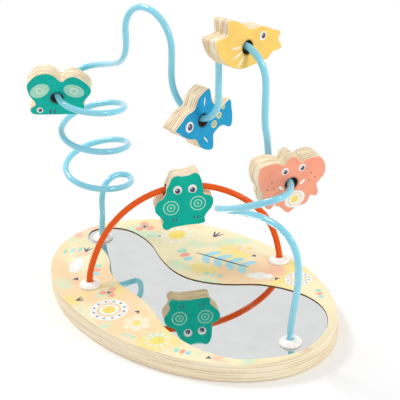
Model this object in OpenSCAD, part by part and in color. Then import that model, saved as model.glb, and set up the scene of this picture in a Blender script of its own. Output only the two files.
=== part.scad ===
// Bead maze: an oval plywood board with a mirror pond, two bent wires and five cut-out animal beads.
// Millimetres. The origin is the centre of the board's underside, +X runs along the board, +Z is up.

/* [Board] */
// Length of the oval board
board_length = 240; // [200:1:300]
// Width of the oval board
board_width = 156; // [130:1:200]
// Thickness of the lower board
base_thickness = 11; // [9:0.5:16]
// Thickness of the printed top board
top_thickness = 3; // [2.5:0.5:5]

/* [Mirror] */
// Thickness of the mirror sheet
mirror_thickness = 2.3; // [1.5:0.1:2.7]
// Gap round the mirror in its opening
mirror_gap = 0.3; // [0.1:0.05:0.6]

/* [Wire] */
// Diameter of the coated wire
wire_diameter = 4.5; // [3.5:0.1:5.5]
// Gap round a wire in a hole, collar, washer or nut
wire_gap = 0.2; // [0.1:0.05:0.4]

/* [Coil] */
// Radius of the coil at the middle of the wire
coil_radius = 23.5; // [18:0.5:28]
// Rise of the coil in one turn
coil_pitch = 30; // [24:0.5:34]
// Height of the coil's first point above the board
coil_start_height = 46; // [40:1:60]

/* [Loops] */
// Radius of the tall crest
tall_radius = 22; // [16:0.5:26]
// Top of the tall crest above the board
tall_height = 201.5; // [180:0.5:230]
// Radius of the valley that the fish hangs in
valley_radius = 21.5; // [18:0.5:25]
// Bottom of the valley above the board
valley_height = 135.5; // [125:0.5:145]
// Radius of the crest that the bird hangs on
crest_radius = 20; // [17:0.5:24]
// Top of the bird's crest above the board
crest_height = 197.5; // [185:0.5:215]
// Radius of the bend that the elephant hangs on
bend_radius = 18.5; // [16:0.5:20]
// Height of the elephant's bend above the board
bend_height = 117; // [112:0.5:122]
// Radius of the hairpin in front of the elephant
hairpin_radius = 8; // [7:0.5:10]
// Drop of the hairpin below the elephant's bend
hairpin_drop = 25; // [21:0.5:29]

/* [Arch] */
// Radius of the red arch
arch_radius = 73; // [68:0.5:76]
// Depth of the arch's centre below the board's top
arch_sink = 11; // [6:0.5:14]
// Shift of the arch's centre towards its right foot
arch_shift = 3.5; // [0:0.5:6]
// Lean of the arch towards the back, in degrees
arch_lean = 16; // [8:1:24]

/* [Collars] */
// Diameter of a collar
collar_diameter = 15.4; // [13:0.2:16]
// Height of a collar's dome
collar_height = 4; // [3:0.2:6]
// Height of a collar's straight rim
collar_rim = 1; // [0.6:0.1:1.6]

/* [Fasteners] */
// Depth of the recess for a washer and nut
recess_depth = 7; // [6:0.5:8]
// Diameter of a washer
washer_diameter = 11; // [9:0.5:13]
// Thickness of a washer
washer_thickness = 1; // [0.6:0.1:1.2]
// Width of a nut across its flats
nut_width = 8; // [7:0.1:9]
// Height of a nut
nut_height = 3.6; // [3:0.1:4.2]
// Gap round a washer in its recess
recess_gap = 0.6; // [0.3:0.1:1]
// Length of wire that stands out of a nut
wire_tail = 1.2; // [0.6:0.1:1.6]

/* [Beads] */
// Thickness of the beads
bead_thickness = 12; // [9:0.5:14]
// Diameter of the hole through a bead's face
face_hole = 8.5; // [7.5:0.1:9]
// Diameter of the hole through the frog from side to side
frog_hole = 7.5; // [7:0.1:8]
// Gap between a hanging bead and the wire that carries it
seat_gap = 0.5; // [0.35:0.05:0.6]
// Wing span of the butterfly
butterfly_length = 45; // [38:0.5:48]
// Height of the butterfly
butterfly_height = 36; // [30:0.5:38]
// Length of the fish
fish_length = 52; // [44:0.5:54]
// Height of the fish
fish_height = 43; // [36:0.5:45]
// Length of the bird
bird_length = 57; // [48:0.5:59]
// Height of the bird
bird_height = 35; // [30:0.5:37]
// Width of the elephant
elephant_length = 49; // [42:0.5:51]
// Height of the elephant
elephant_height = 42; // [35:0.5:44]
// Width of the frog
frog_length = 42; // [36:0.5:44]
// Height of the frog
frog_height = 43; // [36:0.5:45]

/* [Hidden] */
$fn = 64;
overrun = 1;

// Directions
X = [1, 0, 0];
Y = [0, 1, 0];
Z = [0, 0, 1];

// Heights of the board's layers
board_top = base_thickness + top_thickness;
mirror_top = base_thickness + mirror_thickness;
half_board = [board_length / 2, board_width / 2];

// Places of the wires' feet, as shares of the half board
rear_foot_share = [-0.825, 0.087];
front_foot_share = [0.853, -0.088];
left_foot_share = [-0.449, -0.574];
right_foot_share = [0.222, 0.844];
rear_foot = on_board(rear_foot_share);
front_foot = on_board(front_foot_share);
left_foot = on_board(left_foot_share);
right_foot = on_board(right_foot_share);
feet = [rear_foot, front_foot, left_foot, right_foot];

// Outline of the mirror pond, as shares of the half board
pond_shares = [
    [-0.94, 0.1], [-0.89, 0.25], [-0.78, 0.34], [-0.64, 0.34], [-0.5, 0.28], [-0.35, 0.17],
    [-0.18, 0.09], [-0.02, 0.1], [0.15, 0.22], [0.32, 0.43], [0.5, 0.53], [0.66, 0.54],
    [0.8, 0.46], [0.91, 0.28], [0.955, 0.05], [0.945, -0.16], [0.87, -0.37], [0.74, -0.56],
    [0.56, -0.65], [0.36, -0.66], [0.18, -0.6], [0.04, -0.5], [-0.12, -0.43], [-0.32, -0.39],
    [-0.47, -0.3], [-0.58, -0.16], [-0.71, -0.07], [-0.86, -0.04]
];
pond_steps = 3;
board_sides = 144;

// Wire sizes that follow from the fasteners
wire_radius = wire_diameter / 2;
wire_hole = wire_diameter + 2 * wire_gap;
nut_top = recess_depth - washer_thickness;
wire_end = nut_top - nut_height - wire_tail;
collar_top = collar_height + wire_gap;

// Tube detail
wire_sides = 12;
wire_step = 4;

// Coil: the wire climbs clockwise from the right of the coil as the front sees it
coil_turn_share = 2.6;
coil_first_angle = 46.8;
butterfly_turn_share = 2.5;
coil_riser_share = 0.54;
coil_pull_shares = [1.1, 0.87];
coil_share = [-0.812, 0.1];
coil_centre = on_board(coil_share);
coil_foot = board_top + coil_start_height;

// Tall crest, valley and bird's crest stand in the plane along the board's length
tall_x_share = -0.183;
valley_x_share = 0.163;
crest_x_share = 0.52;
tall_centre = [half_board.x * tall_x_share, 0, board_top + tall_height - tall_radius];
valley_centre = [half_board.x * valley_x_share, 0, board_top + valley_height + valley_radius];
crest_centre = [half_board.x * crest_x_share, 0, board_top + crest_height - crest_radius];
coil_exit_pull_shares = [0.48, 0.42];
leg_pull_share = 0.35;
leg_pulls = [leg_pull_share, leg_pull_share];

// Elephant's bend: its middle, the way the wire runs there and the side it bends to
bend_share = [0.813, -0.007];
bend_run = unit([1, -0.32, -0.155]);
bend_side = square_to(-Y, bend_run);
bend_middle = on_board(bend_share) + (board_top + bend_height) * Z;
bend_centre = bend_middle + bend_radius * bend_side;
bend_angles = [-22, 84];
split_x_share = 0.674;
split_run = unit([0.2, 0, -1]);
split_pull_shares = [0.35, 0.2];
split_rise = 27.2;
split_point = [half_board.x * split_x_share, 0, board_top + bend_height + split_rise];
bend_pull_shares = [0.5, 0.4];

// Hairpin and front leg
hairpin_share = [0.561, -0.271];
hairpin_run = unit([1, -0.21, 0.33]);
hairpin_side = square_to([0.64, -0.6, 0.47], hairpin_run);
hairpin_centre = on_board(hairpin_share) + (board_top + bend_height - hairpin_drop) * Z;
hairpin_pull_shares = [0.17, 0.37];
front_pull_shares = [1.12, 0.3];

// Red arch: its foot line, its leaning plane and the stretch that is a true arc
arch_run = unit(right_foot - left_foot);
arch_back = [-arch_run.y, arch_run.x, 0];
arch_up = sin(arch_lean) * arch_back + cos(arch_lean) * Z;
arch_centre = (left_foot + right_foot) / 2 + arch_shift * arch_run + (board_top - arch_sink) * Z;
arch_spring_angle = 40;
arch_pull_shares = [0.2, 0.36];

// Bead poses: the wire point that carries each bead, and how far its hole's middle hangs below the wire
half_bead = bead_thickness / 2;
hang = face_hole / 2 - wire_radius - seat_gap;
butterfly_point = coil_point(butterfly_turn_share);
butterfly_run = coil_run(butterfly_turn_share);
coil_bend = coil_radius + pow(coil_pitch / (2 * PI), 2) / coil_radius;
fish_point = valley_centre - valley_radius * Z;
fish_lift = valley_radius - sqrt(pow(valley_radius - wire_radius, 2) - pow(half_bead, 2));
bird_point = crest_centre + crest_radius * Z;
frog_angle = 90.5;
frog_point = arch_centre + arch_radius * (sin(frog_angle) * arch_up - cos(frog_angle) * arch_run);
frog_hang = frog_hole / 2 - wire_radius - seat_gap;

// Bead outlines as shares of each bead's length and height, from the middle of its hole
bead_steps = 3;
butterfly_shares = [
    [-0.45, 0.33], [-0.37, 0.47], [-0.27, 0.56], [-0.12, 0.59], [0, 0.52], [0.07, 0.41], [0.12, 0.38],
    [0.18, 0.44], [0.29, 0.48], [0.38, 0.43], [0.45, 0.35], [0.52, 0.25], [0.55, 0.14], [0.53, 0.04],
    [0.45, -0.08], [0.41, -0.16], [0.42, -0.25], [0.4, -0.37], [0.31, -0.42], [0.07, -0.41],
    [-0.22, -0.39], [-0.4, -0.36], [-0.45, -0.27], [-0.42, -0.19], [-0.36, -0.15], [-0.36, -0.07],
    [-0.4, 0.02], [-0.44, 0.14]
];
fish_shares = [
    [-0.48, 0.03], [-0.37, 0.12], [-0.27, 0.2], [-0.15, 0.23], [-0.11, 0.28], [-0.06, 0.38],
    [0.03, 0.44], [0.13, 0.47], [0.16, 0.4], [0.18, 0.23], [0.27, 0.13], [0.34, 0.09], [0.47, 0.15],
    [0.51, 0.09], [0.51, 0], [0.52, -0.12], [0.5, -0.27], [0.45, -0.31], [0.35, -0.24], [0.28, -0.23],
    [0.18, -0.29], [0.16, -0.35], [0.15, -0.5], [0.1, -0.54], [0.01, -0.5], [-0.09, -0.4],
    [-0.12, -0.32], [-0.16, -0.25], [-0.25, -0.21], [-0.36, -0.12], [-0.42, -0.04]
];
bird_shares = [
    [-0.46, 0.34], [-0.37, 0.35], [-0.28, 0.37], [-0.28, 0.57], [-0.23, 0.6], [-0.12, 0.53],
    [-0.02, 0.42], [0.06, 0.31], [0.13, 0.29], [0.23, 0.28], [0.32, 0.21], [0.41, 0.12], [0.52, 0.04],
    [0.5, -0.06], [0.49, -0.12], [0.53, -0.23], [0.51, -0.29], [0.39, -0.29], [0.33, -0.35],
    [0.28, -0.38], [0.15, -0.37], [0.01, -0.37], [-0.08, -0.36], [-0.19, -0.3], [-0.31, -0.17],
    [-0.4, -0.02], [-0.45, 0.15], [-0.47, 0.27]
];
elephant_shares = [
    [-0.49, 0.25], [-0.48, 0.35], [-0.46, 0.42], [-0.4, 0.45], [-0.31, 0.45], [-0.22, 0.43], [-0.15, 0.39],
    [-0.12, 0.36], [-0.09, 0.39], [-0.06, 0.45], [-0.02, 0.47], [0.02, 0.47], [0.07, 0.43], [0.11, 0.37],
    [0.14, 0.33], [0.18, 0.36], [0.24, 0.37], [0.31, 0.37], [0.39, 0.35], [0.45, 0.28], [0.49, 0.18],
    [0.5, 0.08], [0.48, -0.01], [0.43, -0.07], [0.39, -0.12], [0.38, -0.15], [0.4, -0.22], [0.41, -0.3],
    [0.39, -0.35], [0.36, -0.35], [0.31, -0.32], [0.28, -0.34], [0.27, -0.39], [0.23, -0.44], [0.09, -0.45],
    [0.04, -0.49], [-0.02, -0.52], [-0.07, -0.48], [-0.12, -0.41], [-0.16, -0.36], [-0.2, -0.34],
    [-0.23, -0.29], [-0.27, -0.35], [-0.32, -0.35], [-0.36, -0.31], [-0.38, -0.24], [-0.41, -0.13],
    [-0.41, -0.07], [-0.4, -0.03], [-0.44, 0.02], [-0.47, 0.12]
];
frog_shares = [
    [-0.1, 0.29], [-0.18, 0.25], [-0.23, 0.15], [-0.28, 0.06], [-0.3, -0.03], [-0.35, -0.1],
    [-0.43, -0.14], [-0.48, -0.21], [-0.5, -0.27], [-0.49, -0.35], [-0.42, -0.44], [-0.38, -0.52],
    [-0.4, -0.61], [-0.37, -0.67], [-0.31, -0.69], [-0.24, -0.66], [-0.06, -0.64], [0.11, -0.64],
    [0.29, -0.64], [0.34, -0.6], [0.33, -0.53], [0.38, -0.45], [0.46, -0.36], [0.5, -0.25],
    [0.47, -0.15], [0.35, -0.1], [0.34, -0.02], [0.33, 0.1], [0.31, 0.2], [0.27, 0.28], [0.21, 0.31],
    [0.12, 0.28], [0, 0.27]
];

// How far a bead hangs on a wire that bends sideways in its hole
function sag(radius) = radius - sqrt(pow(radius, 2) - pow(half_bead, 2));
function side_hang(radius) = sqrt(pow(hang, 2) - pow(sag(radius), 2));

// Vector helpers
function unit(v) = v / norm(v);
function square_to(v, run) = unit(v - (v * run) * run);
function on_board(share) = [half_board.x * share.x, half_board.y * share.y, 0];

// A cubic curve with its two handles
function bezier(a, b, c, d, t) =
    pow(1 - t, 3) * a + 3 * pow(1 - t, 2) * t * b + 3 * (1 - t) * t * t * c + pow(t, 3) * d;

// Points between two ends, leaving and arriving along the given directions
function bridge(from, from_run, to, to_run, pulls, count) =
    let (reach = norm(to - from))
    [for (i = [1:count - 1])
        bezier(from, from + reach * pulls[0] * from_run, to - reach * pulls[1] * to_run, to, i / count)];

// Points along an arc in the plane of two unit directions
function arc(centre, radius, along, up, first, last) =
    let (count = ceil(abs(last - first) * PI / 180 * radius / wire_step))
    [for (i = [0:count])
        let (angle = first + (last - first) * i / count)
        centre + radius * (cos(angle) * along + sin(angle) * up)];
function arc_run(along, up, angle) = cos(angle) * up - sin(angle) * along;

// The coil's points and the way the wire runs there, by number of turns
function coil_angle(turn) = coil_first_angle - 360 * turn;
function coil_point(turn) =
    coil_centre + coil_radius * [cos(coil_angle(turn)), sin(coil_angle(turn)), 0]
    + (coil_foot + coil_pitch * turn) * Z;
function coil_run(turn) =
    unit(2 * PI * coil_radius * [sin(coil_angle(turn)), -cos(coil_angle(turn)), 0] + coil_pitch * Z);
function coil_points() =
    let (count = ceil(coil_turn_share * 2 * PI * coil_radius / wire_step))
    [for (i = [0:count]) coil_point(coil_turn_share * i / count)];

// A smooth closed curve through points
function spline(a, b, c, d, t) =
    (2 * b + (c - a) * t + (2 * a - 5 * b + 4 * c - d) * t * t + (3 * b - a - 3 * c + d) * pow(t, 3)) / 2;
function closed_curve(points, steps) =
    let (n = len(points))
    [for (i = [0:n - 1], k = [0:steps - 1])
        spline(points[(i + n - 1) % n], points[i], points[(i + 1) % n], points[(i + 2) % n], k / steps)];
function sized(shares, length, height) = [for (s = shares) [s.x * length, s.y * height]];
function inset(points, gap) =
    let (n = len(points))
    [for (i = [0:n - 1])
        let (run = unit(points[(i + 1) % n] - points[(i + n - 1) % n]))
        points[i] + gap * [run.y, -run.x]];

// The blue wire: foot, riser and coil, then the loops, then the elephant's bend, hairpin and front leg
rear_leg_top = rear_foot + (board_top + collar_top) * Z;
riser_top = coil_centre + (board_top + coil_riser_share * coil_start_height) * Z;
coil_path = concat(
    [rear_foot + wire_end * Z, rear_leg_top],
    bridge(rear_leg_top, Z, riser_top, Z, leg_pulls, 4),
    [riser_top],
    bridge(riser_top, Z, coil_point(0), coil_run(0), coil_pull_shares, 12),
    coil_points(),
    bridge(
        coil_point(coil_turn_share), coil_run(coil_turn_share),
        tall_centre - tall_radius * X, Z, coil_exit_pull_shares, 22
    )
);
tall_end = tall_centre + tall_radius * X;
valley_start = valley_centre - valley_radius * X;
valley_end = valley_centre + valley_radius * X;
crest_start = crest_centre - crest_radius * X;
crest_end = crest_centre + crest_radius * X;
loops_path = concat(
    arc(tall_centre, tall_radius, X, Z, 180, 0),
    bridge(tall_end, -Z, valley_start, -Z, leg_pulls, 5),
    arc(valley_centre, valley_radius, X, Z, 180, 360),
    bridge(valley_end, Z, crest_start, Z, leg_pulls, 5),
    arc(crest_centre, crest_radius, X, Z, 180, 0),
    bridge(crest_end, -Z, split_point, split_run, split_pull_shares, 6)
);
bend_path = arc(bend_centre, bend_radius, -bend_side, bend_run, bend_angles[0], bend_angles[1]);
bend_start_run = arc_run(-bend_side, bend_run, bend_angles[0]);
bend_end_run = arc_run(-bend_side, bend_run, bend_angles[1]);
hairpin_start = hairpin_centre + hairpin_radius * hairpin_side;
hairpin_end = hairpin_centre - hairpin_radius * hairpin_side;
front_leg_top = front_foot + (board_top + collar_top) * Z;
front_path = concat(
    [split_point],
    bridge(split_point, split_run, bend_path[0], bend_start_run, bend_pull_shares, 8),
    bend_path,
    bridge(bend_path[len(bend_path) - 1], bend_end_run, hairpin_start, -hairpin_run, hairpin_pull_shares, 10),
    arc(hairpin_centre, hairpin_radius, -hairpin_run, hairpin_side, 90, -90),
    bridge(hairpin_end, hairpin_run, front_leg_top, -Z, front_pull_shares, 26),
    [front_leg_top, front_foot + wire_end * Z]
);
blue_path = concat(coil_path, loops_path, front_path);
loops_index = len(coil_path);
front_index = loops_index + len(loops_path);

// The red wire: two short legs and an arc that leans back
arch_path_arc = arc(arch_centre, arch_radius, -arch_run, arch_up, arch_spring_angle, 180 - arch_spring_angle);
arch_first_run = arc_run(-arch_run, arch_up, arch_spring_angle);
arch_last_run = arc_run(-arch_run, arch_up, 180 - arch_spring_angle);
left_leg_top = left_foot + (board_top + collar_top) * Z;
right_leg_top = right_foot + (board_top + collar_top) * Z;
red_path = concat(
    [left_foot + wire_end * Z, left_leg_top],
    bridge(left_leg_top, Z, arch_path_arc[0], arch_first_run, arch_pull_shares, 6),
    arch_path_arc,
    bridge(
        arch_path_arc[len(arch_path_arc) - 1], arch_last_run,
        right_leg_top, -Z, [arch_pull_shares[1], arch_pull_shares[0]], 6
    ),
    [right_leg_top, right_foot + wire_end * Z]
);

// Ring frames carried along a path without twist: [point, side, other side]
function path_run(path, i) =
    i == 0 ? unit(path[1] - path[0])
    : i == len(path) - 1 ? unit(path[i] - path[i - 1])
    : unit(unit(path[i + 1] - path[i]) + unit(path[i] - path[i - 1]));
function frames(path) =
    [for (i = 0, side = square_to(X, path_run(path, 0));
          i < len(path);
          i = i + 1, side = i < len(path) ? square_to(side, path_run(path, i)) : side)
        [path[i], side, cross(path_run(path, i), side)]];
blue_frames = frames(blue_path);
red_frames = frames(red_path);

// A round tube over a stretch of frames
module tube(rings, first, last) {
    count = last - first + 1;
    points = [for (i = [first:last], k = [0:wire_sides - 1])
        let (angle = 360 * k / wire_sides)
        rings[i][0] + wire_radius * (cos(angle) * rings[i][1] + sin(angle) * rings[i][2])];
    sides = [for (i = [0:count - 2], k = [0:wire_sides - 1])
        let (a = i * wire_sides + k, b = i * wire_sides + (k + 1) % wire_sides)
        each [[a, a + wire_sides, b], [b, a + wire_sides, b + wire_sides]]];
    top_ring = (count - 1) * wire_sides;
    caps = [for (k = [1:wire_sides - 2])
        each [[0, k, k + 1], [top_ring, top_ring + k + 1, top_ring + k]]];
    polyhedron(points, concat(sides, caps));
}

// Least gap of the coil to itself, over points more than half a turn apart
function least(list, i = 0, best = 1e9) = i == len(list) ? best : least(list, i + 1, min(best, list[i]));
half_turn_rings = ceil(PI * coil_radius / wire_step);
coil_gap = least([for (i = [0:2:len(coil_path) - 1], j = [i + half_turn_rings:2:len(coil_path) - 1])
    norm(coil_path[i] - coil_path[j])]) - wire_diameter;
echo(coil_gap = coil_gap);

// Board
module oval() {
    polygon([for (i = [0:board_sides - 1])
        let (angle = 360 * i / board_sides)
        [half_board.x * cos(angle), half_board.y * sin(angle)]]);
}
pond = closed_curve(sized(pond_shares, half_board.x, half_board.y), pond_steps);

module base_board() {
    color("burlywood")
    difference() {
        linear_extrude(base_thickness) oval();
        for (foot = feet) translate(foot) {
            translate([0, 0, -overrun]) cylinder(d = wire_hole, h = base_thickness + 2 * overrun);
            translate([0, 0, -overrun])
                cylinder(d = washer_diameter + 2 * recess_gap, h = recess_depth + overrun);
        }
    }
}

module top_board() {
    color("wheat")
    translate([0, 0, base_thickness])
    difference() {
        linear_extrude(top_thickness) difference() {
            oval();
            polygon(pond);
        }
        for (foot = [left_foot, right_foot]) translate(foot - overrun * Z)
            cylinder(d = wire_hole, h = top_thickness + 2 * overrun);
    }
}

module mirror_inlay() {
    color("gainsboro")
    translate([0, 0, base_thickness])
    difference() {
        linear_extrude(mirror_thickness) polygon(inset(pond, mirror_gap));
        for (foot = [rear_foot, front_foot]) translate(foot - overrun * Z)
            cylinder(d = wire_hole, h = mirror_thickness + 2 * overrun);
    }
}

// Wires
module blue_wire_coil() {
    color("skyblue") tube(blue_frames, 0, loops_index);
}
module blue_wire_loops() {
    color("skyblue") tube(blue_frames, loops_index, front_index);
}
module blue_wire_front() {
    color("skyblue") tube(blue_frames, front_index, len(blue_frames) - 1);
}
module red_wire_arch() {
    color("orangered") tube(red_frames, 0, len(red_frames) - 1);
}

// A collar is a low dome with a straight rim and a hole for the wire
module collar(foot, height) {
    dome_rise = collar_height - collar_rim;
    dome_radius = (pow(collar_diameter / 2, 2) + pow(dome_rise, 2)) / (2 * dome_rise);
    color("seashell")
    translate(foot + height * Z)
    difference() {
        intersection() {
            cylinder(d = collar_diameter, h = collar_height);
            translate([0, 0, collar_height - dome_radius]) sphere(r = dome_radius);
        }
        translate([0, 0, -overrun]) cylinder(d = wire_hole, h = collar_height + 2 * overrun);
    }
}
module blue_rear_collar() {
    collar(rear_foot, mirror_top);
}
module blue_front_collar() {
    collar(front_foot, mirror_top);
}
module red_left_collar() {
    collar(left_foot, board_top);
}
module red_right_collar() {
    collar(right_foot, board_top);
}

// Washers and nuts sit in the recesses under the board
module wire_washers() {
    color("silver")
    for (foot = feet) translate(foot + nut_top * Z)
        difference() {
            cylinder(d = washer_diameter, h = washer_thickness);
            translate([0, 0, -overrun]) cylinder(d = wire_hole, h = washer_thickness + 2 * overrun);
        }
}
module wire_nuts() {
    color("gray")
    for (foot = feet) translate(foot + (nut_top - nut_height) * Z)
        difference() {
            cylinder(d = nut_width / cos(30), h = nut_height, $fn = 6);
            translate([0, 0, -overrun]) cylinder(d = wire_hole, h = nut_height + 2 * overrun);
        }
}

// A bead is cut from one board and hangs on the wire by its hole
module bead(shares, length, height) {
    translate([0, 0, -half_bead])
    linear_extrude(bead_thickness) polygon(closed_curve(sized(shares, length, height), bead_steps));
}
module face_bead(shares, length, height) {
    difference() {
        bead(shares, length, height);
        translate([0, 0, -half_bead - overrun]) cylinder(d = face_hole, h = bead_thickness + 2 * overrun);
    }
}

// Stands a bead up: its face looks along the given direction
module hung(point, face, drop) {
    across = unit(cross(Z, face));
    up = cross(face, across);
    place = point - drop * up;
    multmatrix([
        [across.x, up.x, face.x, place.x],
        [across.y, up.y, face.y, place.y],
        [across.z, up.z, face.z, place.z],
        [0, 0, 0, 1]
    ]) children();
}

module butterfly_bead() {
    color("darkturquoise")
    hung(butterfly_point, -butterfly_run, side_hang(coil_bend))
        face_bead(butterfly_shares, butterfly_length, butterfly_height);
}
module fish_bead() {
    color("deepskyblue")
    hung(fish_point, X, face_hole / 2 - seat_gap - fish_lift)
        face_bead(fish_shares, fish_length, fish_height);
}
module bird_bead() {
    color("khaki")
    hung(bird_point, X, hang) face_bead(bird_shares, bird_length, bird_height);
}
module elephant_bead() {
    color("salmon")
    hung(bend_middle, bend_run, side_hang(bend_radius))
        face_bead(elephant_shares, elephant_length, elephant_height);
}
module frog_bead() {
    color("mediumaquamarine")
    hung(frog_point, cross(arch_run, Z), frog_hang)
        difference() {
            bead(frog_shares, frog_length, frog_height);
            rotate([0, 90, 0]) cylinder(d = frog_hole, h = 2 * frog_length, center = true);
        }
}

base_board();
top_board();
mirror_inlay();
blue_wire_coil();
blue_wire_loops();
blue_wire_front();
red_wire_arch();
blue_rear_collar();
blue_front_collar();
red_left_collar();
red_right_collar();
wire_washers();
wire_nuts();
butterfly_bead();
fish_bead();
bird_bead();
elephant_bead();
frog_bead();
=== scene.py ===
"""Looks of a wooden bead maze: coated wires, cut-out beads and a printed board with a mirror pond."""

import math

import bmesh
import bpy
from bpy.props import FloatProperty, FloatVectorProperty, PointerProperty
from mathutils import Matrix, Vector
from mathutils.geometry import interpolate_bezier


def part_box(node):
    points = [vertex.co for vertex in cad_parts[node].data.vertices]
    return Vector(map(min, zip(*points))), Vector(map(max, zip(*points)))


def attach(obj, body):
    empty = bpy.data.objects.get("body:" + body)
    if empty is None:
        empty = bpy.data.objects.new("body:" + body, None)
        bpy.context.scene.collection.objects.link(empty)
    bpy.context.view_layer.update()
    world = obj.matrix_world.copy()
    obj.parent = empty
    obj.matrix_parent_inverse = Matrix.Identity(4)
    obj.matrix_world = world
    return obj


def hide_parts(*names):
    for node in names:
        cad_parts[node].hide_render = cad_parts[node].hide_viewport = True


bl_info = {
    "name": "Bead maze",
    "version": (1, 0, 0),
    "blender": (4, 5, 0),
    "location": "3D View > Sidebar > Bead maze",
    "description": "Gives a bead maze its wires, beads, prints, mirror and stage",
    "category": "Object",
}

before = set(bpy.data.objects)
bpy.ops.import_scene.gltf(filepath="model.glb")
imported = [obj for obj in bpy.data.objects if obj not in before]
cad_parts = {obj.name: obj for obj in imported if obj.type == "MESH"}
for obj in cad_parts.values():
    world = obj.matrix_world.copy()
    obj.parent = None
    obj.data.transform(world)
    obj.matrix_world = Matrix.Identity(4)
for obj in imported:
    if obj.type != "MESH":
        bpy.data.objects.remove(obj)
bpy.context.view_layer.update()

MM = 0.001
X = Vector((1, 0, 0))
Y = Vector((0, 1, 0))
Z = Vector((0, 0, 1))


def linear(colour):
    """Turns an sRGB hex value into linear red, green and blue."""
    parts = [int(colour[i:i + 2], 16) / 255 for i in (1, 3, 5)]
    return [c / 12.92 if c <= 0.04045 else ((c + 0.055) / 1.055) ** 2.4 for c in parts]


# Settings


class WireSettings(bpy.types.PropertyGroup):
    """Sizes and colours of the two coated wires"""

    diameter: FloatProperty(
        name="Wire diameter", description="Diameter over the coating", default=4.5 * MM, unit="LENGTH")
    blue: FloatVectorProperty(
        name="Blue", description="Colour of the long wire", default=linear("#88D9EE"), subtype="COLOR")
    red: FloatVectorProperty(
        name="Red", description="Colour of the low arch", default=linear("#EC5A08"), subtype="COLOR")


class BoardSettings(bpy.types.PropertyGroup):
    """Sizes and colours of the board"""

    rim_round: FloatProperty(
        name="Rim rounding", description="Rounding of the board's rims", default=1.5 * MM, unit="LENGTH")
    veneer: FloatProperty(
        name="Veneer", description="Thickness of the board's veneers", default=2 * MM, unit="LENGTH")
    pale_wood: FloatVectorProperty(
        name="Pale wood", description="Long-grain veneers", default=linear("#FDF0D2"), subtype="COLOR")
    brown_wood: FloatVectorProperty(
        name="Brown wood", description="End-grain veneers", default=linear("#F2D4AA"), subtype="COLOR")
    glue_line: FloatVectorProperty(
        name="Glue line", description="Lines between the veneers", default=linear("#96683C"), subtype="COLOR")
    scorch: FloatVectorProperty(
        name="Scorch", description="Burnt wall of a cut", default=linear("#8A6844"), subtype="COLOR")
    ground: FloatVectorProperty(
        name="Ground", description="Pale ground of the print", default=linear("#F8ECC4"), subtype="COLOR")
    warm: FloatVectorProperty(
        name="Orange wash", description="Soft orange patches", default=linear("#FBD8AC"), subtype="COLOR")
    blush: FloatVectorProperty(
        name="Pink wash", description="Soft pink patches", default=linear("#F9C4AC"), subtype="COLOR")
    lemon: FloatVectorProperty(
        name="Yellow wash", description="Soft yellow patches", default=linear("#F8E48C"), subtype="COLOR")
    mint: FloatVectorProperty(
        name="Mint wash", description="Soft mint patches", default=linear("#D3EBCB"), subtype="COLOR")


class BeadSettings(bpy.types.PropertyGroup):
    """Sizes and colours of the five beads"""

    rim_round: FloatProperty(
        name="Rim rounding", description="Rounding of the beads' cut rims", default=0.5 * MM, unit="LENGTH")
    veneer: FloatProperty(
        name="Veneer", description="Thickness of the beads' veneers", default=1.72 * MM, unit="LENGTH")
    butterfly: FloatVectorProperty(
        name="Butterfly", description="Paint of the butterfly", default=linear("#00B8A8"), subtype="COLOR")
    fish: FloatVectorProperty(
        name="Fish", description="Paint of the fish", default=linear("#1D9FD0"), subtype="COLOR")
    bird: FloatVectorProperty(
        name="Bird", description="Paint of the bird", default=linear("#FFD26E"), subtype="COLOR")
    elephant: FloatVectorProperty(
        name="Elephant", description="Paint of the elephant", default=linear("#FFA688"), subtype="COLOR")
    frog: FloatVectorProperty(
        name="Frog", description="Paint of the frog", default=linear("#00B7A3"), subtype="COLOR")


class PrintSettings(bpy.types.PropertyGroup):
    """Inks of the prints"""

    white: FloatVectorProperty(
        name="White", description="White ink", default=linear("#F3F4EE"), subtype="COLOR")
    violet: FloatVectorProperty(
        name="Violet", description="Dark violet ink", default=linear("#4C4569"), subtype="COLOR")
    yellow: FloatVectorProperty(
        name="Yellow", description="Yellow ink", default=linear("#F9DE6B"), subtype="COLOR")
    orange: FloatVectorProperty(
        name="Orange", description="Pale orange ink", default=linear("#FBC98B"), subtype="COLOR")
    coral: FloatVectorProperty(
        name="Coral", description="Coral ink", default=linear("#F6A893"), subtype="COLOR")
    mint: FloatVectorProperty(
        name="Mint", description="Mint ink", default=linear("#A6E2C8"), subtype="COLOR")
    sky: FloatVectorProperty(
        name="Sky", description="Sky blue ink", default=linear("#A9E0EA"), subtype="COLOR")
    cream: FloatVectorProperty(
        name="Cream", description="Cream ink", default=linear("#FDEBCB"), subtype="COLOR")


class FittingSettings(bpy.types.PropertyGroup):
    """Colours of the collars, mirror and fasteners"""

    collar: FloatVectorProperty(
        name="Collars", description="Moulded collars", default=linear("#FFFAF4"), subtype="COLOR")
    mirror: FloatVectorProperty(
        name="Mirror", description="Tint of the mirror sheet", default=linear("#DCDEDE"), subtype="COLOR")
    steel: FloatVectorProperty(
        name="Steel", description="Zinc-plated washers and nuts", default=linear("#C9CBCE"), subtype="COLOR")


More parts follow.
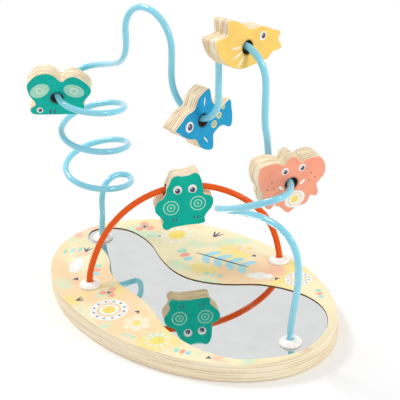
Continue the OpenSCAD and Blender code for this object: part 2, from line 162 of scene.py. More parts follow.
class StageSettings(bpy.types.PropertyGroup):
    """Floor, light and camera"""

    floor: FloatVectorProperty(
        name="Floor", description="Colour of the floor", default=linear("#FDFDFD"), subtype="COLOR")
    fill: FloatProperty(
        name="Fill light", description="Strength of the light from all round", default=0.66, min=0)
    key: FloatProperty(
        name="Key lamp", description="Power of the lamp on the left", default=6.4, min=0, unit="POWER")
    side: FloatProperty(
        name="Side lamp", description="Power of the lamp on the right", default=4.4, min=0, unit="POWER")
    target: FloatVectorProperty(
        name="Target", description="Point the camera looks at",
        default=(5.44 * MM, 11.35 * MM, 79 * MM), subtype="TRANSLATION")
    distance: FloatProperty(
        name="Distance", description="From the camera to its target", default=950 * MM, unit="LENGTH")
    azimuth: FloatProperty(
        name="Azimuth", description="Turn of the view", default=math.radians(46.8), subtype="ANGLE")
    pitch: FloatProperty(
        name="Pitch", description="How far the camera looks down", default=math.radians(28), subtype="ANGLE")
    roll: FloatProperty(
        name="Roll", description="Turn of the picture", default=math.radians(-3.7), subtype="ANGLE")
    lens: FloatProperty(
        name="Lens", description="Focal length in millimetres", default=124.9, subtype="DISTANCE_CAMERA")


class MazeSettings(bpy.types.PropertyGroup):
    """All settings of the bead maze"""

    wires: PointerProperty(type=WireSettings)
    board: PointerProperty(type=BoardSettings)
    beads: PointerProperty(type=BeadSettings)
    prints: PointerProperty(type=PrintSettings)
    fittings: PointerProperty(type=FittingSettings)
    stage: PointerProperty(type=StageSettings)


# Route of the wires, in millimetres as the solids are drawn

WIRE_STEP = 1.5
WIRE_RADIUS = 2.25
WIRE_END = 1.2
WIRE_GAP = 0.2
COLLAR_HEIGHT = 4
HALF_BOARD = (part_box("base_board")[1] / MM).xy
BOARD_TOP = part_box("top_board")[1].z / MM
LEG_TOP = BOARD_TOP + COLLAR_HEIGHT + WIRE_GAP
COIL_RADIUS, COIL_PITCH, COIL_HEIGHT = 23.5, 30, 46
COIL_FIRST_ANGLE = 46.8
COIL_TURNS, BUTTERFLY_TURN = 2.6, 2.5
TALL_RADIUS, TALL_HEIGHT = 22, 201.5
VALLEY_RADIUS, VALLEY_HEIGHT = 21.5, 135.5
CREST_RADIUS, CREST_HEIGHT = 20, 197.5
BEND_RADIUS, BEND_HEIGHT = 18.5, 117
BEND_ANGLES = (-22, 84)
SPLIT_RISE = 27.2
HAIRPIN_RADIUS, HAIRPIN_DROP = 8, 25
ARCH_RADIUS, ARCH_SINK, ARCH_SHIFT, ARCH_LEAN = 73, 11, 3.5, math.radians(16)
ARCH_SPRING = 40
FROG_ANGLE = math.radians(90.5)
BEAD_THICKNESS = 12
FACE_HOLE, FROG_HOLE, SEAT_GAP = 8.5, 7.5, 0.5

# Places as shares of the half board, and the riser's height as a share of the coil's
COIL_SHARE = (-0.812, 0.1)
RISER_SHARE = 0.54
TALL_SHARE = (-0.183, 0)
VALLEY_SHARE = (0.163, 0)
CREST_SHARE = (0.52, 0)
SPLIT_SHARE = (0.674, 0)
BEND_SHARE = (0.813, -0.007)
HAIRPIN_SHARE = (0.561, -0.271)

# How far a joining curve keeps to its first and last direction, as shares of its reach
LEG_PULLS = (0.35, 0.35)
RISER_PULLS = (1.1, 0.87)
EXIT_PULLS = (0.48, 0.42)
SPLIT_PULLS = (0.35, 0.2)
BEND_PULLS = (0.5, 0.4)
HAIRPIN_PULLS = (0.17, 0.37)
FRONT_PULLS = (1.11, 0.3)
ARCH_PULLS = (0.2, 0.36)


def square_to(direction, run):
    """The part of a direction that is square to a run, as a unit vector."""
    return (direction - direction.dot(run) * run).normalized()


def on_board(share, height=0):
    """A point over the board, by shares of the half board."""
    return Vector((HALF_BOARD.x * share[0], HALF_BOARD.y * share[1], height))


def foot(collar):
    """The point under a collar, on the ground."""
    low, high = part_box(collar)
    middle = (low + high) / 2 / MM
    return Vector((middle.x, middle.y, 0))


def bridge(start, start_run, end, end_run, pulls):
    """Points between two ends, leaving and arriving along the given directions."""
    reach = (end - start).length
    count = max(4, math.ceil(reach / WIRE_STEP))
    first = start + reach * pulls[0] * start_run
    last = end - reach * pulls[1] * end_run
    return interpolate_bezier(start, first, last, end, count + 1)[1:-1]


def arc(centre, radius, along, up, first, last):
    """Points along an arc in the plane of two unit directions."""
    count = math.ceil(abs(math.radians(last - first)) * radius / WIRE_STEP)
    angles = [math.radians(first + (last - first) * i / count) for i in range(count + 1)]
    return [centre + radius * (math.cos(a) * along + math.sin(a) * up) for a in angles]


def arc_run(along, up, angle):
    """The way an arc runs at an angle."""
    return math.cos(math.radians(angle)) * up - math.sin(math.radians(angle)) * along


def coil_point(turn):
    """A point of the coil, by number of turns."""
    angle = math.radians(COIL_FIRST_ANGLE - 360 * turn)
    centre = on_board(COIL_SHARE, BOARD_TOP + COIL_HEIGHT + COIL_PITCH * turn)
    return centre + COIL_RADIUS * Vector((math.cos(angle), math.sin(angle), 0))


def coil_run(turn):
    """The way the coil runs, by number of turns."""
    angle = math.radians(COIL_FIRST_ANGLE - 360 * turn)
    run = 2 * math.pi * COIL_RADIUS * Vector((math.sin(angle), -math.cos(angle), 0)) + COIL_PITCH * Z
    return run.normalized()


TALL_CENTRE = on_board(TALL_SHARE, BOARD_TOP + TALL_HEIGHT - TALL_RADIUS)
VALLEY_CENTRE = on_board(VALLEY_SHARE, BOARD_TOP + VALLEY_HEIGHT + VALLEY_RADIUS)
CREST_CENTRE = on_board(CREST_SHARE, BOARD_TOP + CREST_HEIGHT - CREST_RADIUS)
BEND_RUN = Vector((1, -0.32, -0.155)).normalized()
BEND_SIDE = square_to(-Y, BEND_RUN)
BEND_MIDDLE = on_board(BEND_SHARE, BOARD_TOP + BEND_HEIGHT)
SPLIT_POINT = on_board(SPLIT_SHARE, BOARD_TOP + BEND_HEIGHT + SPLIT_RISE)
SPLIT_RUN = Vector((0.2, 0, -1)).normalized()
HAIRPIN_RUN = Vector((1, -0.21, 0.33)).normalized()
HAIRPIN_SIDE = square_to(Vector((0.64, -0.6, 0.47)), HAIRPIN_RUN)
HAIRPIN_CENTRE = on_board(HAIRPIN_SHARE, BOARD_TOP + BEND_HEIGHT - HAIRPIN_DROP)
LEFT_FOOT = foot("red_left_collar")
RIGHT_FOOT = foot("red_right_collar")
ARCH_RUN = (RIGHT_FOOT - LEFT_FOOT).normalized()
ARCH_UP = math.sin(ARCH_LEAN) * Z.cross(ARCH_RUN) + math.cos(ARCH_LEAN) * Z
ARCH_CENTRE = (LEFT_FOOT + RIGHT_FOOT) / 2 + ARCH_SHIFT * ARCH_RUN + (BOARD_TOP - ARCH_SINK) * Z


def leg(foot_point):
    """The ends of a wire's straight leg through the board and its collar, from below."""
    return [foot_point + WIRE_END * Z, foot_point + LEG_TOP * Z]


def joined(*stretches):
    """A route through stretches: points, first and last direction, and the pulls of the curve up to them."""
    route, run = [], None
    for points, first, last, pulls in stretches:
        if route:
            route += bridge(route[-1], run, points[0], first, pulls)
        route += points
        run = last
    return route


def blue_route():
    """The long wire: foot, coil, tall crest, valley, crest, elephant's bend, hairpin and front leg."""
    riser_top = on_board(COIL_SHARE, BOARD_TOP + RISER_SHARE * COIL_HEIGHT)
    turns = math.ceil(COIL_TURNS * 2 * math.pi * COIL_RADIUS / WIRE_STEP)
    coil = [coil_point(COIL_TURNS * i / turns) for i in range(turns + 1)]
    bend = arc(BEND_MIDDLE + BEND_RADIUS * BEND_SIDE, BEND_RADIUS, -BEND_SIDE, BEND_RUN, *BEND_ANGLES)
    bend_in, bend_out = (arc_run(-BEND_SIDE, BEND_RUN, a) for a in BEND_ANGLES)
    hairpin = arc(HAIRPIN_CENTRE, HAIRPIN_RADIUS, -HAIRPIN_RUN, HAIRPIN_SIDE, 90, -90)
    return joined(
        (leg(foot("blue_rear_collar")), Z, Z, None),
        ([riser_top], Z, Z, LEG_PULLS),
        (coil, coil_run(0), coil_run(COIL_TURNS), RISER_PULLS),
        (arc(TALL_CENTRE, TALL_RADIUS, X, Z, 180, 0), Z, -Z, EXIT_PULLS),
        (arc(VALLEY_CENTRE, VALLEY_RADIUS, X, Z, 180, 360), -Z, Z, LEG_PULLS),
        (arc(CREST_CENTRE, CREST_RADIUS, X, Z, 180, 0), Z, -Z, LEG_PULLS),
        ([SPLIT_POINT], SPLIT_RUN, SPLIT_RUN, SPLIT_PULLS),
        (bend, bend_in, bend_out, BEND_PULLS),
        (hairpin, -HAIRPIN_RUN, HAIRPIN_RUN, HAIRPIN_PULLS),
        (leg(foot("blue_front_collar"))[::-1], -Z, -Z, FRONT_PULLS))


def red_route():
    """The low arch: a leg, an arc that leans back and a leg."""
    angles = (ARCH_SPRING, 180 - ARCH_SPRING)
    top = arc(ARCH_CENTRE, ARCH_RADIUS, -ARCH_RUN, ARCH_UP, *angles)
    first, last = (arc_run(-ARCH_RUN, ARCH_UP, a) for a in angles)
    return joined(
        (leg(LEFT_FOOT), Z, Z, None),
        (top, first, last, ARCH_PULLS),
        (leg(RIGHT_FOOT)[::-1], -Z, -Z, ARCH_PULLS[::-1]))


# Places of the beads: across, up and face are the plate's own directions, from the middle of its hole


def hung(point, face, drop):
    """A bead's place in metres: its face looks along a direction and its hole hangs below a wire point."""
    across = Z.cross(face).normalized()
    up = face.cross(across)
    place = Matrix((across, up, face)).transposed().to_4x4()
    place.translation = (point - drop * up) * MM
    return place


def bead_places():
    """Each bead's place by name."""
    half = BEAD_THICKNESS / 2
    hang = FACE_HOLE / 2 - WIRE_RADIUS - SEAT_GAP

    def side_hang(radius):
        sag = radius - math.sqrt(radius ** 2 - half ** 2)
        return math.sqrt(hang ** 2 - sag ** 2)

    coil_bend = COIL_RADIUS + (COIL_PITCH / (2 * math.pi)) ** 2 / COIL_RADIUS
    fish_lift = VALLEY_RADIUS - math.sqrt((VALLEY_RADIUS - WIRE_RADIUS) ** 2 - half ** 2)
    frog_way = math.sin(FROG_ANGLE) * ARCH_UP - math.cos(FROG_ANGLE) * ARCH_RUN
    frog_point = ARCH_CENTRE + ARCH_RADIUS * frog_way
    return {
        "butterfly": hung(coil_point(BUTTERFLY_TURN), -coil_run(BUTTERFLY_TURN), side_hang(coil_bend)),
        "fish": hung(VALLEY_CENTRE - VALLEY_RADIUS * Z, X, FACE_HOLE / 2 - SEAT_GAP - fish_lift),
        "bird": hung(CREST_CENTRE + CREST_RADIUS * Z, X, hang),
        "elephant": hung(BEND_MIDDLE, BEND_RUN, side_hang(BEND_RADIUS)),
        "frog": hung(frog_point, ARCH_RUN.cross(Z), FROG_HOLE / 2 - WIRE_RADIUS - SEAT_GAP),
    }


# Materials


def feed(tree, node, inputs):
    """Gives each input of a node its value, or links it to the socket that feeds it."""
    for key, value in inputs.items():
        socket = node.inputs[key] if isinstance(key, int) else next(
            s for s in node.inputs if key in (s.identifier, s.name))
        if isinstance(value, bpy.types.NodeSocket):
            tree.links.new(value, socket)
        else:
            socket.default_value = value


def add(tree, kind, inputs=None, **options):
    """Adds a node, sets its options, feeds its inputs and gives its outputs."""
    node = tree.nodes.new("ShaderNode" + kind)
    for key, value in options.items():
        setattr(node, key, value)
    feed(tree, node, inputs or {})
    return node.outputs


def new_material(name, place=None):
    """A material, its nodes, its shader and coordinates: the object's own, or those of a plate's place."""
    material = bpy.data.materials.new(name)
    material.use_nodes = True
    tree = material.node_tree
    here = add(tree, "TexCoord")["Object"]
    if place is not None:
        turned = {"Vector": here, "Location": place.translation, "Rotation": place.to_euler()}
        here = add(tree, "Mapping", turned, vector_type="TEXTURE")["Vector"]
    return material, tree, tree.nodes["Principled BSDF"], here


def calc(tree, operation, *values):
    """The result of a calculation."""
    return add(tree, "Math", dict(enumerate(values)), operation=operation)[0]


def scaled(tree, where, scale):
    """Coordinates with a scale of their own along each axis."""
    return add(tree, "Mapping", {"Vector": where, "Scale": scale})["Vector"]


def noise(tree, where, size, detail, roughness=0.5):
    """Noise with patches of a size."""
    return add(tree, "TexNoise", {
        "Vector": where, "Scale": 1 / size, "Detail": detail, "Roughness": roughness})["Fac"]


def remap(tree, value, to, span=(0, 1), kind="LINEAR"):
    """A value that goes from one end of a range to the other while another value passes over a span."""
    return add(tree, "MapRange", {
        "Value": value, "From Min": span[0], "From Max": span[1], "To Min": to[0], "To Max": to[1],
    }, interpolation_type=kind)["Result"]


def ramp(tree, value, *stops):
    """A colour that changes with a value between two stops, each a position and a colour."""
    node = tree.nodes.new("ShaderNodeValToRGB")
    for element, (position, colour) in zip(node.color_ramp.elements, stops):
        element.position = position
        element.color = (*colour, 1)
    feed(tree, node, {"Fac": value})
    return node.outputs["Color"]


def shade(colour, share):
    """A colour made lighter or darker by a share."""
    return [min(1, c * share) for c in colour]


def toned(tree, value, colour, *stops):
    """A colour that gets lighter with a value between two stops, each a position and a share."""
    return ramp(tree, value, *[(position, shade(colour, share)) for position, share in stops])


def blend(tree, share, first, second, kind="MIX"):
    """Two colours mixed by a share."""
    return add(tree, "Mix", {"Factor_Float": share, "A_Color": first, "B_Color": second},
               data_type="RGBA", blend_type=kind)[2]


def bump(tree, height, strength, distance):
    """The normal of a surface that rises and falls with a height."""
    return add(tree, "Bump", {"Strength": strength, "Distance": distance, "Height": height})["Normal"]


def enamelled_wire(name, colour, gloss, coat):
    """Steel rod dipped in enamel: an even colour that pools a little, under sharp small highlights."""
    material, tree, shader, here = new_material(name)
    # Tone of the coat drifts over about 30 mm; its orange peel is drawn at 3 mm, coarser than real, to show
    drift = noise(tree, here, 30 * MM, 2)
    peel = noise(tree, here, 3 * MM, 1)
    feed(tree, shader, {
        "Base Color": toned(tree, drift, colour, (0.3, 0.95), (0.7, 1.03)),
        "Roughness": remap(tree, drift, (0.12, 0.24)), "Normal": bump(tree, peel, 0.012, 0.1 * MM),
        "Specular IOR Level": gloss, "Coat Weight": coat, "Coat Roughness": 0.06})
    return material


def plywood_edge(name, place, veneer, colours, run, contrast):
    """Sawn birch plywood edge: thin glue lines that come and go between plain and pored end-grain layers."""
    material, tree, shader, plate = new_material(name, place)
    pale, brown, glue = ((*colour, 1) for colour in colours)
    x, y, z = add(tree, "SeparateXYZ", {"Vector": plate})

    def along(level, size, step, detail):
        """Noise along the edge, with patches of a size and a step from one level to the next."""
        at_level = add(tree, "CombineXYZ", {"X": x, "Y": y, "Z": level})["Vector"]
        return noise(tree, scaled(tree, at_level, (1 / size, 1 / size, step)), 1, detail)

    # Veneers bow by a fraction of a millimetre over 25 mm
    bow = noise(tree, plate, 25 * MM, 1)
    layers = calc(tree, "DIVIDE", calc(tree, "MULTIPLY_ADD", bow, 0.8 * MM, z), veneer)
    layer, line = calc(tree, "FLOOR", layers), calc(tree, "ROUND", layers)
    # Each layer's tone drifts along the edge over a run in millimetres
    end_grain = remap(tree, along(layer, run * MM, 5.3, 1), (0, contrast), (0.42, 0.62))
    wood = blend(tree, end_grain, pale, brown)
    # Pores are drawn 0.9 mm wide, coarser than real, to show
    pores = along(layer, 0.9 * MM, 7.7, 1)
    open_pores = remap(tree, pores, (0, 0.4), (0.55, 0.7))
    pored = blend(tree, calc(tree, "MULTIPLY", open_pores, end_grain), wood, glue)
    # A glue line is drawn three times as wide as the real 0.1 mm, to show
    off_line = calc(tree, "PINGPONG", layers, 0.5)
    near = remap(tree, off_line, (1, 0), (0.16 * MM / veneer, 0.34 * MM / veneer), "SMOOTHSTEP")
    # Each line comes and goes over four fifths of the run
    wear = along(line, 0.8 * run * MM, 3.9, 2)
    clear = remap(tree, wear, (0.1 * contrast, contrast), (0.38, 0.62))
    lined = blend(tree, calc(tree, "MULTIPLY", near, clear), pored, glue)
    feed(tree, shader, {
        "Base Color": lined, "Normal": bump(tree, pores, 0.15, 0.15 * MM),
        "Roughness": 0.62, "Specular IOR Level": 0.3})
    return material


def scorched_cut(name, colour):
    """Wall of a laser cut: charred brown, matt, with paler spots where the char rubbed off."""
    material, tree, shader, here = new_material(name)
    # Rubbed spots are about 3 mm across
    spots = noise(tree, here, 3 * MM, 3)
    feed(tree, shader, {
        "Base Color": toned(tree, spots, colour, (0.35, 0.55), (0.7, 1.5)), "Roughness": 0.75})
    return material


def grained(tree, where, size, cover, share, dark):
    """A cover with the grain of the wood under it, of a length and a width, and the normal of the grain."""
    grain = noise(tree, scaled(tree, where, (1 / size[0], 1 / size[1], 1)), 1, 3)
    fibre = ramp(tree, grain, (0.35, dark), (0.6, (1, 1, 1)))
    return blend(tree, share, cover, fibre, "MULTIPLY"), bump(tree, grain, 0.08, 0.1 * MM)


def painted_plate(name, colour, place, hole):
    """Satin paint on plywood: the grain shows faintly through, and the paint darkens round the hole, for char
    and painted shade.
    """
    material, tree, shader, plate = new_material(name, place)
    # Grain runs across the plate, about 25 mm long and 0.7 mm wide; paint mottles over 8 mm
    mottle = noise(tree, plate, 8 * MM, 2)
    tone = toned(tree, mottle, colour, (0.3, 0.93), (0.7, 1.05))
    paint, normal = grained(tree, plate, (25 * MM, 0.7 * MM), tone, 0.22, (0.8, 0.8, 0.8))
    if hole:
        # The darkening round the hole, char and painted shade, fades from 0.3 to 1.6 mm off the hole's wall
        flat = add(tree, "VectorMath", {0: plate, 1: (1, 1, 0)}, operation="MULTIPLY")["Vector"]
        reach = add(tree, "VectorMath", {0: flat}, operation="LENGTH")["Value"]
        burn_and_shade = remap(tree, reach, (0, 0.75), ((hole / 2 + 1.6) * MM, (hole / 2 + 0.3) * MM))
        paint = blend(tree, burn_and_shade, paint, (*shade(colour, 0.25), 1))
    feed(tree, shader, {
        "Base Color": paint, "Normal": normal, "Roughness": 0.45, "Specular IOR Level": 0.15})
    return material


def printed_board(name, ground, patches):
    """Offset print on plywood under satin varnish: a pale yellow ground with soft washes of pastel colour."""
    material, tree, shader, here = new_material(name)
    cover = (*ground, 1)
    # Each wash drifts over its own size and has its own shift, so that no two lie alike
    for colour, size, shift, clear in patches:
        moved = add(tree, "Mapping", {"Vector": here, "Location": (shift, 0.4 - shift, 0)})["Vector"]
        wash = noise(tree, moved, size * MM, 2, 0.4)
        cover = blend(tree, remap(tree, wash, (0, 0.85), (clear, clear + 0.1)), cover, (*colour, 1))
    # The wood's grain runs along the board, about 40 mm long and 0.8 mm wide
    wood, normal = grained(tree, here, (40 * MM, 0.8 * MM), cover, 0.2, (0.88, 0.83, 0.74))
    feed(tree, shader, {
        "Base Color": wood, "Normal": normal, "Roughness": 0.4, "Specular IOR Level": 0.25})
    return material


def screen_ink(name, colour):
    """Screen-printed ink: nearly even, a little thin in places, satin."""
    material, tree, shader, here = new_material(name)
    # Thin places are about 4 mm across
    thin = noise(tree, here, 4 * MM, 3)
    feed(tree, shader, {
        "Base Color": toned(tree, thin, colour, (0.3, 0.92), (0.65, 1.04)),
        "Roughness": remap(tree, thin, (0.4, 0.52))})
    return material


def acrylic_mirror(name, colour):
    """Silvered acrylic sheet: a clear, slightly grey reflection with faint smears and a soft waviness."""
    material, tree, shader, here = new_material(name)
    # Smears are about 15 mm across; the sheet waves over 70 mm
    smear = noise(tree, here, 15 * MM, 4)
    wave = noise(tree, here, 70 * MM, 0)
    feed(tree, shader, {
        "Base Color": toned(tree, smear, colour, (0.35, 0.97), (0.7, 1.02)),
        "Roughness": remap(tree, smear, (0.015, 0.07), (0.4, 0.8)),
        "Normal": bump(tree, wave, 0.03, 1 * MM), "Metallic": 1})
    return material


def moulded_collar(name, colour):
    """Moulded white plastic: even and satin, with a very fine grain of the mould."""
    material, tree, shader, here = new_material(name)
    # Mould grain is drawn at 1 mm, coarser than real, to show
    grain = noise(tree, here, 1 * MM, 2)
    feed(tree, shader, {
        "Base Color": toned(tree, grain, colour, (0.3, 0.96), (0.7, 1.02)),
        "Normal": bump(tree, grain, 0.05, 0.1 * MM), "Roughness": 0.38})
    return material


def zinc_steel(name, colour):
    """Zinc-plated steel: bright grey metal with a faint spangle."""
    material, tree, shader, here = new_material(name)
    # Spangles are about 1.5 mm across
    spangle = add(tree, "TexVoronoi", {"Vector": here, "Scale": 1 / (1.5 * MM)})["Distance"]
    feed(tree, shader, {
        "Base Color": toned(tree, spangle, colour, (0, 0.85), (1, 1.1)),
        "Roughness": remap(tree, spangle, (0.25, 0.42)), "Metallic": 1})
    return material


def seen_directly(tree):
    """A socket that is 1 for what the eye, metal and glass see and 0 for light that falls on the object."""
    rays = add(tree, "LightPath")
    seen = calc(tree, "MAXIMUM", rays["Is Camera Ray"], rays["Is Glossy Ray"])
    return calc(tree, "MAXIMUM", seen, rays["Is Transmission Ray"])


def matt_floor(name, colour):
    """Matt white studio paper: it keeps the object's soft shadow and clears to plain white further out."""
    material, tree, shader, here = new_material(name)
    # Unevenness is about 300 mm across
    uneven = noise(tree, here, 300 * MM, 1)
    feed(tree, shader, {
        "Base Color": toned(tree, uneven, colour, (0.3, 0.995), (0.7, 1)),
        "Roughness": 0.9, "Specular IOR Level": 0})
    # Beyond the shadow, from 125 to 215 mm off the middle, the floor shows as white to eye, metal and glass
    reach = add(tree, "VectorMath", {0: here}, operation="LENGTH")["Value"]
    far = remap(tree, reach, (0, 1), (125 * MM, 215 * MM), "SMOOTHSTEP")
    white = add(tree, "Emission", {"Color": (1, 1, 1, 1), "Strength": 1})[0]
    share = calc(tree, "MULTIPLY", far, seen_directly(tree))
    mixed = add(tree, "MixShader", {0: share, 1: shader.outputs[0], 2: white})[0]
    feed(tree, tree.nodes["Material Output"], {"Surface": mixed})
    return material


# Making pieces

# Points nearer than this are merged
MERGE = 0.005 * MM
# How close normals keep to a face's direction: on the flat alone, and with the first strip of its rounding
FLAT, NEARLY_FLAT = 0.999, 0.95
# Least angles between two faces at a rim to round, at an edge that stays sharp and at a collar's lip
RIM_ANGLE, SHARP_ANGLE, LIP_ANGLE = (math.radians(a) for a in (50, 40, 30))
LIP_ROUND = 0.5 * MM
# Where the rim of the oval board begins, before it is rounded and after
RIM_SHARE, ROUNDED_RIM_SHARE = 0.99, 0.955
# How far from a bead's hole its scorched wall, darkened with painted shade, reaches, in millimetres
SCORCH_AND_SHADE_REACH = 0.4


def settings():
    """The maze's settings in the scene."""
    return bpy.context.scene.bead_maze


def new_object(name, bm, materials):
    """Makes an object of a bmesh and puts it in the scene."""
    mesh = bpy.data.meshes.new(name)
    bm.to_mesh(mesh)
    bm.free()
    for material in materials:
        mesh.materials.append(material)
    made = bpy.data.objects.new(name, mesh)
    bpy.context.scene.collection.objects.link(made)
    return made


def finish_piece(name, bm, materials, body, nodes=()):
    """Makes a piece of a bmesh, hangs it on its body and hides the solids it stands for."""
    piece = new_object(name, bm, materials)
    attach(piece, body)
    if nodes:
        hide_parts(*nodes)


def coat_solid(node, material):
    """Gives a solid that is shown as it is its material."""
    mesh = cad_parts[node].data
    mesh.materials.clear()
    mesh.materials.append(material)


def round_off(bm, edges, rounding, segments):
    """Rounds some edges of a mesh."""
    bmesh.ops.bevel(bm, geom=edges, offset=rounding, offset_type="OFFSET", affect="EDGES",
                    segments=segments, profile=0.5, material=-1, clamp_overlap=True)


def rounded_copy(node, rounding, is_rim):
    """A copy of a solid with its triangles merged into whole faces and its chosen rims rounded."""
    bm = bmesh.new()
    bm.from_mesh(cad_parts[node].data)
    bmesh.ops.remove_doubles(bm, verts=bm.verts, dist=MERGE)
    bmesh.ops.dissolve_limit(bm, angle_limit=math.radians(0.5), verts=bm.verts, edges=bm.edges)
    rims = [e for e in bm.edges if e.calc_face_angle(0) > RIM_ANGLE and is_rim(e)]
    if not rims:
        raise RuntimeError(f"{node} has no rim to round")
    round_off(bm, rims, rounding, segments=3)
    return bm


def spun(section, steps, merge):
    """A closed body spun about z from its half section, which is a list of radii and heights."""
    bm = bmesh.new()
    verts = [bm.verts.new((r, 0, z)) for r, z in section]
    edges = [bm.edges.new((verts[i], verts[i - 1])) for i in range(len(verts))]
    bmesh.ops.spin(bm, geom=verts + edges, cent=(0, 0, 0), axis=Z, angle=math.tau, steps=steps,
                   use_merge=True)
    bmesh.ops.remove_doubles(bm, verts=bm.verts, dist=merge)
    return bm


def smooth_but_flats(bm, is_flat):
    """Shades curved walls smooth, keeps flat faces flat and hard edges sharp."""
    for face in bm.faces:
        face.smooth = not is_flat(face)
    for edge in bm.edges:
        edge.smooth = edge.calc_face_angle(0) < SHARP_ANGLE


def wire_piece(name, route, diameter, material, nodes):
    """A round rod along a route, as one smooth mesh."""
    curve = bpy.data.curves.new(name + "_route", "CURVE")
    curve.dimensions = "3D"
    curve.bevel_depth = diameter / 2
    curve.bevel_resolution = 8
    curve.use_fill_caps = True
    spline = curve.splines.new("POLY")
    spline.points.add(len(route) - 1)
    for point, place in zip(spline.points, route):
        point.co = (*(place * MM), 1)
    spline.use_smooth = True
    guide = bpy.data.objects.new(name + "_route", curve)
    bpy.context.scene.collection.objects.link(guide)
    bpy.context.view_layer.update()
    drawn = guide.evaluated_get(bpy.context.evaluated_depsgraph_get())
    bm = bmesh.new()
    bm.from_mesh(drawn.to_mesh())
    bpy.data.objects.remove(guide)
    bmesh.ops.remove_doubles(bm, verts=bm.verts, dist=MERGE)
    bmesh.ops.recalc_face_normals(bm, faces=bm.faces)
    smooth_but_flats(bm, lambda face: len(face.verts) > 4)
    finish_piece(name, bm, [material], "frame", nodes)


# Prints: thin films of ink in millimetres on a face, with its own x, y and height

INKS = ("white", "violet", "yellow", "orange", "coral", "mint", "sky", "cream")
FILM = 0.03


def ink_materials():
    """The inks, made once."""
    made = []
    for ink in INKS:
        name = f"screen_ink_{ink}"
        made.append(bpy.data.materials.get(name) or screen_ink(name, getattr(settings().prints, ink)))
    return made


def film(bm, ink, at, size, turn=0, sides=28, layer=1):
    """One film of ink: an ellipse, or with few sides a polygon."""
    place = (Matrix.Translation((*at, 0)) @ Matrix.Rotation(math.radians(turn), 4, "Z")
             @ Matrix.Diagonal((size[0] / 2, size[1] / 2, 1, 1)))
    made = bmesh.ops.create_cone(bm, cap_ends=True, segments=sides, radius1=1, radius2=1,
                                 depth=2 * FILM * layer, matrix=place)
    for face in {f for v in made["verts"] for f in v.link_faces}:
        face.material_index = INKS.index(ink)


def dot(bm, ink, at, size, sides=28, layer=1):
    """A round film of ink."""
    film(bm, ink, at, (size, size), 0, sides, layer)


def ring(bm, ink, at, diameter, width, layer=1):
    """A ring of ink."""
    outer, inner, high = diameter / 2, diameter / 2 - width, FILM * layer
    section = [(inner, -high), (outer, -high), (outer, high), (inner, high)]
    made = spun(section, steps=40, merge=MERGE / MM)
    for face in made.faces:
        face.material_index = INKS.index(ink)
    made.transform(Matrix.Translation((*at, 0)))
    mesh = bpy.data.meshes.new("ring")
    made.to_mesh(mesh)
    made.free()
    bm.from_mesh(mesh)
    bpy.data.meshes.remove(mesh)


def off(at, reach, angle):
    """The point that lies off another by a reach, at an angle in degrees."""
    return at[0] + reach * math.cos(math.radians(angle)), at[1] + reach * math.sin(math.radians(angle))


def round_about(at, reach, count, first=0):
    """Points round a middle, each with its angle."""
    for k in range(count):
        angle = first + 360 * k / count
        yield off(at, reach, angle), angle


def sun(bm, at, size, turn):
    """A yellow disc with white rays."""
    dot(bm, "yellow", at, size * 0.44)
    for point, angle in round_about(at, size * 0.38, 11, turn):
        film(bm, "white", point, (size * 0.22, size * 0.07), angle, 12)


def cloud(bm, at, size, turn):
    """Three white discs in a row, the middle one largest."""
    for layer, (shift, share) in enumerate(((-0.27, 0.4), (0, 0.6), (0.28, 0.44)), 1):
        film(bm, "white", off(at, shift * size, turn), (size * share, size * share * 0.8), turn, layer=layer)


def sprig(bm, at, size, turn):
    """A violet stem with sky blue leaves on both sides."""
    film(bm, "violet", at, (size, size * 0.03), turn, 16, 3)
    for k in range(4):
        node = off(at, size * (-0.32 + 0.22 * k), turn)
        for layer, side in ((1, -1), (2, 1)):
            tilt = turn + side * 48
            film(bm, "sky", off(node, size * 0.13, tilt), (size * 0.27, size * 0.12), tilt, 24, layer)


def berries(bm, at, size, turn):
    """Three coral berries on violet stalks."""
    for layer, (point, angle) in enumerate(round_about(at, size * 0.3, 3, turn), 1):
        film(bm, "violet", at, (size * 0.5, size * 0.05), angle, 12, layer)
        dot(bm, "coral", point, size * 0.36, 24, 4)


def pebbles(bm, at, size, turn):
    """Three rounded pebbles in mint, coral and sky blue."""
    for shift, ink in ((-0.36, "mint"), (0, "coral"), (0.36, "sky")):
        film(bm, ink, off(at, shift * size, turn), (size * 0.3, size * 0.42), turn, 20)


def tuft(bm, at, size, turn):
    """A tuft of three violet blades."""
    for layer, tilt in enumerate((-28, 0, 28), 1):
        angle = 90 + turn + tilt
        film(bm, "violet", off(at, size * 0.4, angle), (size * 0.9, size * 0.14), angle, 12, layer)


def dotted(bm, at, size, turn):
    """A white disc with violet dots, an orange ring and a yellow middle."""
    dot(bm, "white", at, size)
    ring(bm, "orange", at, size * 0.62, size * 0.05, 2)
    dot(bm, "yellow", at, size * 0.34, 24, 2)
    for point, angle in round_about(at, size * 0.4, 12, turn):
        film(bm, "violet", point, (size * 0.06, size * 0.06), angle, 10, 2)


def drops(bm, at, size, turn):
    """A sky blue drop between two mint ones, in a row of slanting drops."""
    for shift, ink in ((-0.4, "mint"), (0, "sky"), (0.4, "mint")):
        film(bm, ink, off(at, shift * size, turn), (size * 0.46, size * 0.2), turn + 65, 18)


def pennant(bm, at, size, turn):
    """A small violet triangle."""
    film(bm, "violet", at, (size, size * 0.8), turn, 3)


def blossom(bm, at, size, turn):
    """Six cream petals round a yellow middle."""
    for k, (point, angle) in enumerate(round_about(at, size * 0.3, 6, turn)):
        film(bm, "cream", point, (size * 0.42, size * 0.34), angle, 20, 1 + k % 2)
    dot(bm, "yellow", at, size * 0.28, 20, 3)


